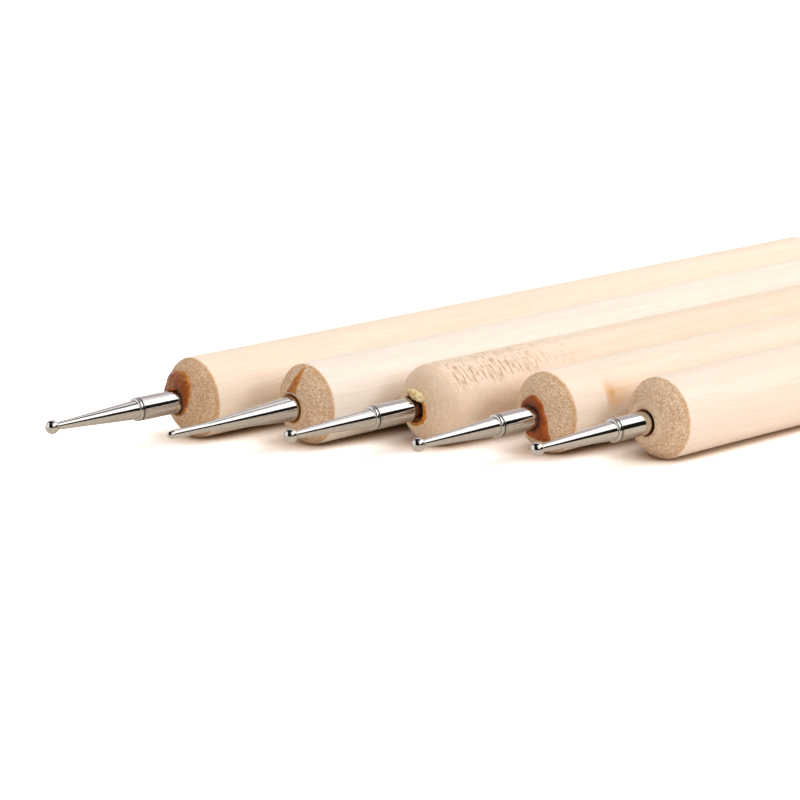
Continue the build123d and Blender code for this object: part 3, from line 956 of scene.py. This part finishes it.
# The painted reflections that the photograph's balls and sleeves show. The first two are places on
# a ball's disc, the others azimuths and elevations in degrees.
CEILING = [
    (-0.62, 0.6, 0.68), (-0.45, 0.54, 0.74), (-0.3, 0.5, 0.77),
    (0.05, 0.52, 0.79), (0.2, 0.58, 0.74), (0.3, 0.62, 0.68),
]
DOORWAY = [
    (-0.4, -0.02, 0.5), (-0.32, -0.12, 0.52), (-0.1, -0.14, 0.52), (0.0, -0.14, 0.5), (0.04, -0.14, 0.3),
    (0.1, -0.12, 0.09), (0.2, -0.1, 0.06), (0.4, -0.07, 0.055), (0.66, -0.06, 0.075), (0.8, -0.01, 0.12),
    (0.86, 0.06, 0.1),
]
HORIZON = [(-96, -4, 20), (-72, -4, 27), (-50, -4, 30), (-36, -4, 28), (-20, -4, 18)]
RIGHT_SOFTBOX = [(-98, 18, 50), (-75, 14, 60), (-50, 12, 56), (-15, 14, 58), (5, 30, 54)]
BACK_WALL = [(8, 4, 52), (40, 4, 50), (80, 4, 46), (115, 4, 30)]
# How bright these are
DARK, LAMP, WALL = (0.012, 0.01, 0.009), (1.7, 1.7, 1.7), (0.62, 0.56, 0.59)

# The table's painted shade beside the wood; its colour in the open, which these lamps make pure white; and its colour
# in mirrors, a darker painted reflection
TABLE_PAINTED_SHADE, TABLE_OPEN, TABLE_MIRRORED = (0.5, 0.34, 0.22, 1), (1.7, 1.7, 1.7, 1), (0.68, 0.61, 0.54, 1)
# How far the wood's shade reaches over the table in mm, and the open shares where it ends and begins
TABLE_SHADES = [(1.4, 0.03, 0.4), (8, 0.02, 0.46)]
# The tints of the light that the table and the room throw on the wood
TABLE_BOUNCE, ROOM_TINT = (0.97, 0.9, 0.83, 1), (1.0, 0.935, 0.865, 1)


def softbox(name, place, side, power):
    """A square lamp 1.5 m from the middle of the table, at an azimuth and elevation in degrees, that
    mirrors don't show."""
    up = toward(*place)
    across = np.cross((0, 1, 0), up)
    across /= np.linalg.norm(across)
    lamp = bpy.data.lights.new(name, "AREA")
    lamp.size, lamp.energy = side, power
    box = placed(name, lamp)
    box.matrix_world = facing(across, np.cross(up, across), up, 1.5 * up)
    box.visible_glossy = False


class SetStage(bpy.types.Operator):
    """Sets the table, the room, the lamps and the camera."""

    bl_idname = "stylus.set_stage"
    bl_label = "Set the stage"

    def execute(self, context):
        stage = settings("stage")
        scene = context.scene
        x, y = np.meshgrid(np.linspace(-2.5, 2.5, 5), np.linspace(-2.5, 2.5, 5))
        table = card("table", np.stack([x, y, 0 * x], -1))
        made, tree = material("white_table")
        # painted shade: the table is darkened and warmed close to the handles, as light that has met the wood would
        # warm it
        clear = 1.0
        for reach, low, high in TABLE_SHADES:
            share = add(tree, "AmbientOcclusion", {"Distance": reach * MM}, output="AO", samples=8)
            share = add(tree, "MapRange", {0: share, 1: low, 2: high})
            clear = add(tree, "Math", {0: clear, 1: share}, operation="MULTIPLY")
        shown = add(tree, "Mix", {0: clear, 6: TABLE_PAINTED_SHADE, 7: TABLE_OPEN}, **COLOURS)
        lit = tuple(np.array(stage.floor) * TABLE_BOUNCE)
        camera, glossy = (add(tree, "LightPath", output=f"Is {ray} Ray") for ray in ("Camera", "Glossy"))
        other = add(tree, "Mix", {0: glossy, 6: lit, 7: TABLE_MIRRORED}, **COLOURS)
        seen = add(tree, "Mix", {0: camera, 6: other, 7: shown}, **COLOURS)
        finish_with(tree, add(tree, "BsdfDiffuse", {"Color": seen}))
        table.data.materials.append(made)

        # the room is plain white to the camera and in mirrors, and fills in softly elsewhere
        world = bpy.data.worlds.new("white_room")
        world.use_nodes = True
        tree = world.node_tree
        tree.nodes.clear()
        shown = 0.0
        for kind in ("Camera", "Glossy", "Transmission"):
            ray = add(tree, "LightPath", output=f"Is {kind} Ray")
            shown = add(tree, "Math", {0: shown, 1: ray}, operation="ADD", use_clamp=True)
        strength = add(tree, "MapRange", {0: shown, 3: stage.fill, 4: 1.0})
        shade = add(tree, "Mix", {0: shown, 6: ROOM_TINT, 7: (1, 1, 1, 1)}, **COLOURS)
        room = add(tree, "Background", {"Color": shade, "Strength": strength})
        add(tree, "OutputWorld", {"Surface": room})
        scene.world = world

        softbox("overhead_softbox", (-24, 61), 1.1, stage.key)
        softbox("low_softbox", (-74, 27), 0.5, stage.right)

        room_patch("dark_ceiling", CEILING, mirrored, DARK)
        room_patch("dark_doorway", DOORWAY, mirrored, DARK)
        room_patch("dark_horizon", HORIZON, toward, DARK)
        # a glowing sheet that lights nothing: the painted reflection of a softbox on the right
        room_patch("right_softbox", RIGHT_SOFTBOX, toward, LAMP, 1.4)
        room_patch("back_wall", BACK_WALL, toward, WALL, 1.5)
        set_camera()
        scene.view_settings.view_transform = "Standard"
        return {"FINISHED"}


class StylusPanel(bpy.types.Panel):
    """The set's settings and steps."""

    bl_idname = "STYLUS_PT_set"
    bl_label = "Embossing stylus set"
    bl_space_type = "VIEW_3D"
    bl_region_type = "UI"
    bl_category = "Stylus"

    def draw(self, context):
        layout = self.layout
        for name, group in SLOTS.items():
            box = layout.box()
            box.label(text=group.__doc__)
            for key in group.__annotations__:
                box.prop(getattr(context.scene, f"stylus_{name}"), key)
        for step in STEPS:
            layout.operator(step.bl_idname)


STEPS = (TurnHandles, SetTips, PourGlue, SetStage)
CLASSES = (*SLOTS.values(), *STEPS, StylusPanel)


def register():
    for made in CLASSES:
        bpy.utils.register_class(made)
    for name, group in SLOTS.items():
        setattr(bpy.types.Scene, f"stylus_{name}", PointerProperty(type=group))


def unregister():
    for name in SLOTS:
        delattr(bpy.types.Scene, f"stylus_{name}")
    for made in reversed(CLASSES):
        bpy.utils.unregister_class(made)


def main():
    """Makes the whole scene."""
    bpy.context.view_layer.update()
    register()
    bpy.ops.stylus.turn_handles()
    bpy.ops.stylus.set_tips()
    bpy.ops.stylus.pour_glue()
    bpy.ops.stylus.set_stage()


if __name__ == "__main__":
    main()
